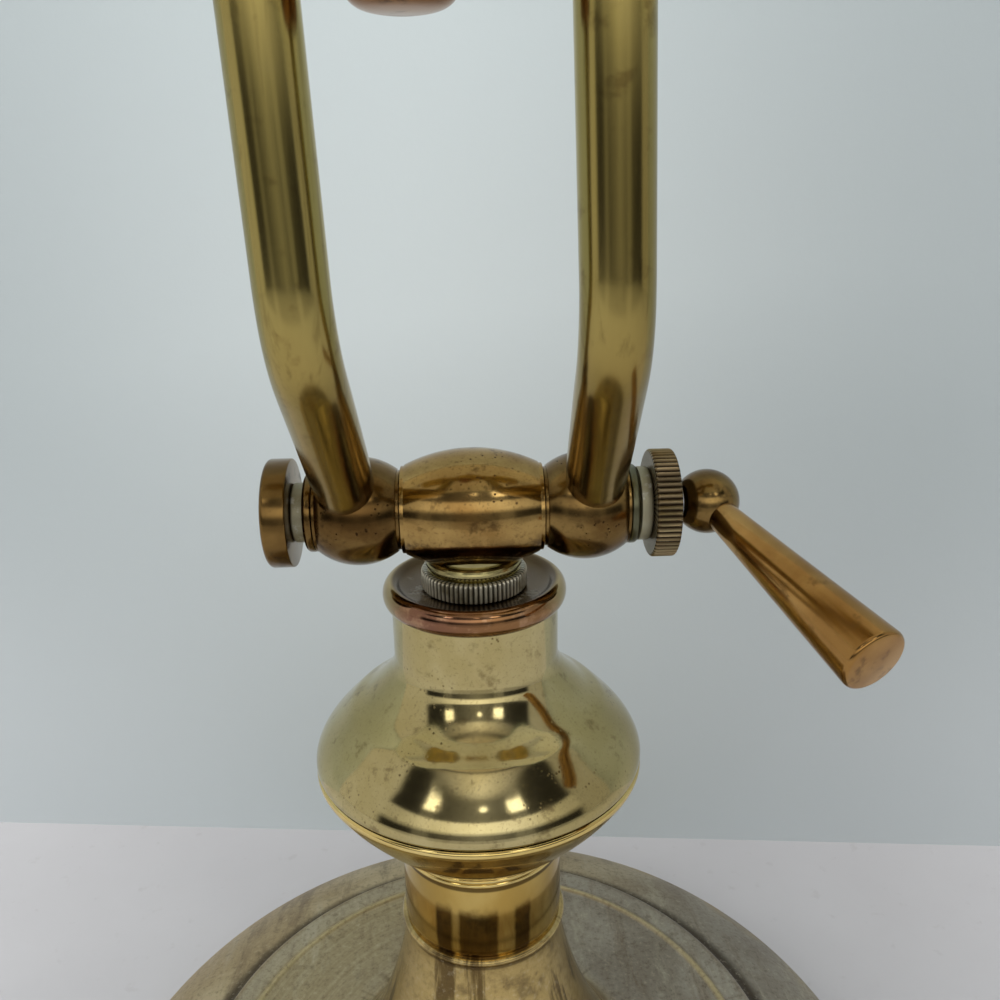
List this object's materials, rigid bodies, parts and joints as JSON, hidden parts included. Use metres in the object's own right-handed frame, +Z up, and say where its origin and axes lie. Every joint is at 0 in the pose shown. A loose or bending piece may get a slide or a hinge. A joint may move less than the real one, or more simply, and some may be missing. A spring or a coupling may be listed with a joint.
{
  "type": "desk lamp",
  "caption": "Bankers lamp: weighted round brass base, onion column, swivel and tilt knuckle with clamp lever, two bent tube arms, tilting two-light head, green trough shade.",
  "frame": {"origin": "centre of the base's underside, on the table, under the middle of the column", "axes": "+Z up, +X to the right seen from the user, who sits on the -Y side; the arms lean forward to -Y"},
  "size_m": [0.336, 0.2241, 0.4057],
  "materials": {
    "felt": "wool felt",
    "base_brass": "brushed, tarnished and scratched",
    "sleeve_brass": "polished, deep gold",
    "vase_lower_brass": "polished, spun lines",
    "vase_upper_brass": "polished, pitted at the left",
    "collar_brass": "polished, copper tint",
    "ring_brass": "knurled, tarnished",
    "stem_brass": "polished, greenish",
    "knuckle_brass": "polished, brown with age",
    "dark_ring": "dulled to a dark green grey",
    "disc_brass": "polished, streaky",
    "corroded_washer": "whitened by corrosion",
    "nut_brass": "knurled, grey brown",
    "handle_copper": "polished, copper brown",
    "arm_brass": "polished tube, greenish gold",
    "head_brass": "polished",
    "copper_knob": "polished, copper tint",
    "cast_iron": "as cast",
    "steel": "plated",
    "black_rubber": "moulded",
    "porcelain": "glazed",
    "bulb_glass": "frosted",
    "green_glass": "cased, gloss outside and white inside"
  },
  "bodies": {
    "base": {"felt_pad": "felt", "base_shell": "base_brass", "base_weight": "cast_iron", "weight_nut": "steel", "weight_washer": "steel", "tie_rod": "steel", "cord_bushing": "black_rubber", "column_sleeve": "sleeve_brass", "vase_lower": "vase_lower_brass", "vase_upper": "vase_upper_brass", "collar_cup": "collar_brass"},
    "lock_ring": {"lock_ring": "ring_brass"},
    "swivel": {"swivel_stem": "stem_brass", "knuckle_barrel": "knuckle_brass"},
    "yoke": {"hub_left": "knuckle_brass", "hub_right": "knuckle_brass", "end_ring_left": "knuckle_brass", "end_ring_right": "dark_ring", "washer_left": "disc_brass", "washer_right": "corroded_washer", "pivot_bolt": "steel", "head_disc": "disc_brass", "arm_left": "arm_brass", "arm_right": "arm_brass", "eye_left": "head_brass", "eye_right": "head_brass"},
    "thumb_nut": {"thumb_nut": "nut_brass"},
    "lever": {"lever_ball": "knuckle_brass", "lever_handle": "handle_copper"},
    "head": {"cross_tube": "head_brass", "wiring_body": "head_brass", "switch_neck": "head_brass", "tilt_nut_left": "head_brass", "tilt_nut_right": "head_brass", "socket_cap_left": "head_brass", "socket_cap_right": "head_brass", "socket_shell_left": "head_brass", "socket_shell_right": "head_brass", "socket_core_left": "porcelain", "socket_core_right": "porcelain", "bulb_base_left": "steel", "bulb_base_right": "steel", "bulb_left": "bulb_glass", "bulb_right": "bulb_glass", "shade_post": "steel", "saddle_nut": "steel", "shade_saddle": "head_brass", "washer_lower": "black_rubber", "washer_upper": "black_rubber", "shade": "green_glass", "shade_cap": "head_brass"},
    "switch": {"switch_knob": "copper_knob"},
    "finial": {"finial": "head_brass"}
  },
  "joints": [
    {"name": "swivel_turn", "type": "hinge", "parent": "base", "child": "swivel", "pos_m": [0, 0, 0.17], "axis": [0, 0, 1], "range_deg": [-150, 150]},
    {"name": "lock_ring_turn", "type": "hinge", "parent": "base", "child": "lock_ring", "pos_m": [0, 0, 0.1758], "axis": [0, 0, 1], "continuous": true},
    {"name": "yoke_tilt", "type": "hinge", "parent": "swivel", "child": "yoke", "pos_m": [0, 0, 0.192], "axis": [1, 0, 0], "range_deg": [-35, 50]},
    {"name": "thumb_nut_turn", "type": "hinge", "parent": "yoke", "child": "thumb_nut", "pos_m": [0.0418, 0, 0.192], "axis": [1, 0, 0], "continuous": true},
    {"name": "lever_turn", "type": "hinge", "parent": "yoke", "child": "lever", "pos_m": [0.05235, 0, 0.192], "axis": [1, 0, 0], "range_deg": [-100, 80]},
    {"name": "head_tilt", "type": "hinge", "parent": "yoke", "child": "head", "pos_m": [-0.00428, -0.03965, 0.32093], "axis": [1, 0, 0], "range_deg": [-40, 40]},
    {"name": "switch_turn", "type": "hinge", "parent": "head", "child": "switch", "pos_m": [-0.00838, -0.03965, 0.29093], "axis": [0, 0, 1], "continuous": true},
    {"name": "finial_turn", "type": "hinge", "parent": "head", "child": "finial", "pos_m": [-0.00428, -0.03965, 0.39593], "axis": [0, 0, 1], "continuous": true}
  ]
}
